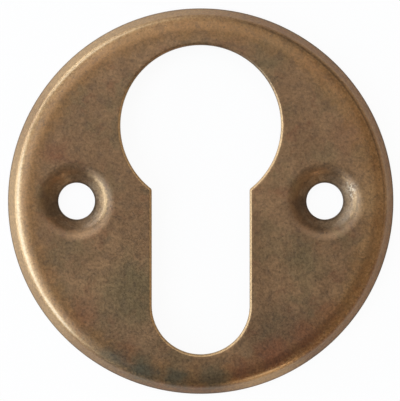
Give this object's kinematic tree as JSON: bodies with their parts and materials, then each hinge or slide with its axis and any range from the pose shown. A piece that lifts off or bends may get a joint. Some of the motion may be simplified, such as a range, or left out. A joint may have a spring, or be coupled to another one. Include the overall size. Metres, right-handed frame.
{
  "type": "keyhole escutcheon",
  "caption": "Round pressed brass escutcheon with a profile cylinder keyhole and sunk screw seats, in an aged finish.",
  "frame": {"origin": "middle of the disc, on the plane of the skirt's foot, which is the face of the door", "axes": "+Z out of the face, away from the door; +X along the line of the screws; +Y towards the eye of the keyhole"},
  "size_m": [0.042, 0.042, 0.0024],
  "materials": {
    "aged_brass": "aged, mottled brown patina, rubbed bright along the rim"
  },
  "bodies": {
    "root": {"escutcheon_plate": "aged_brass"}
  },
  "joints": []
}
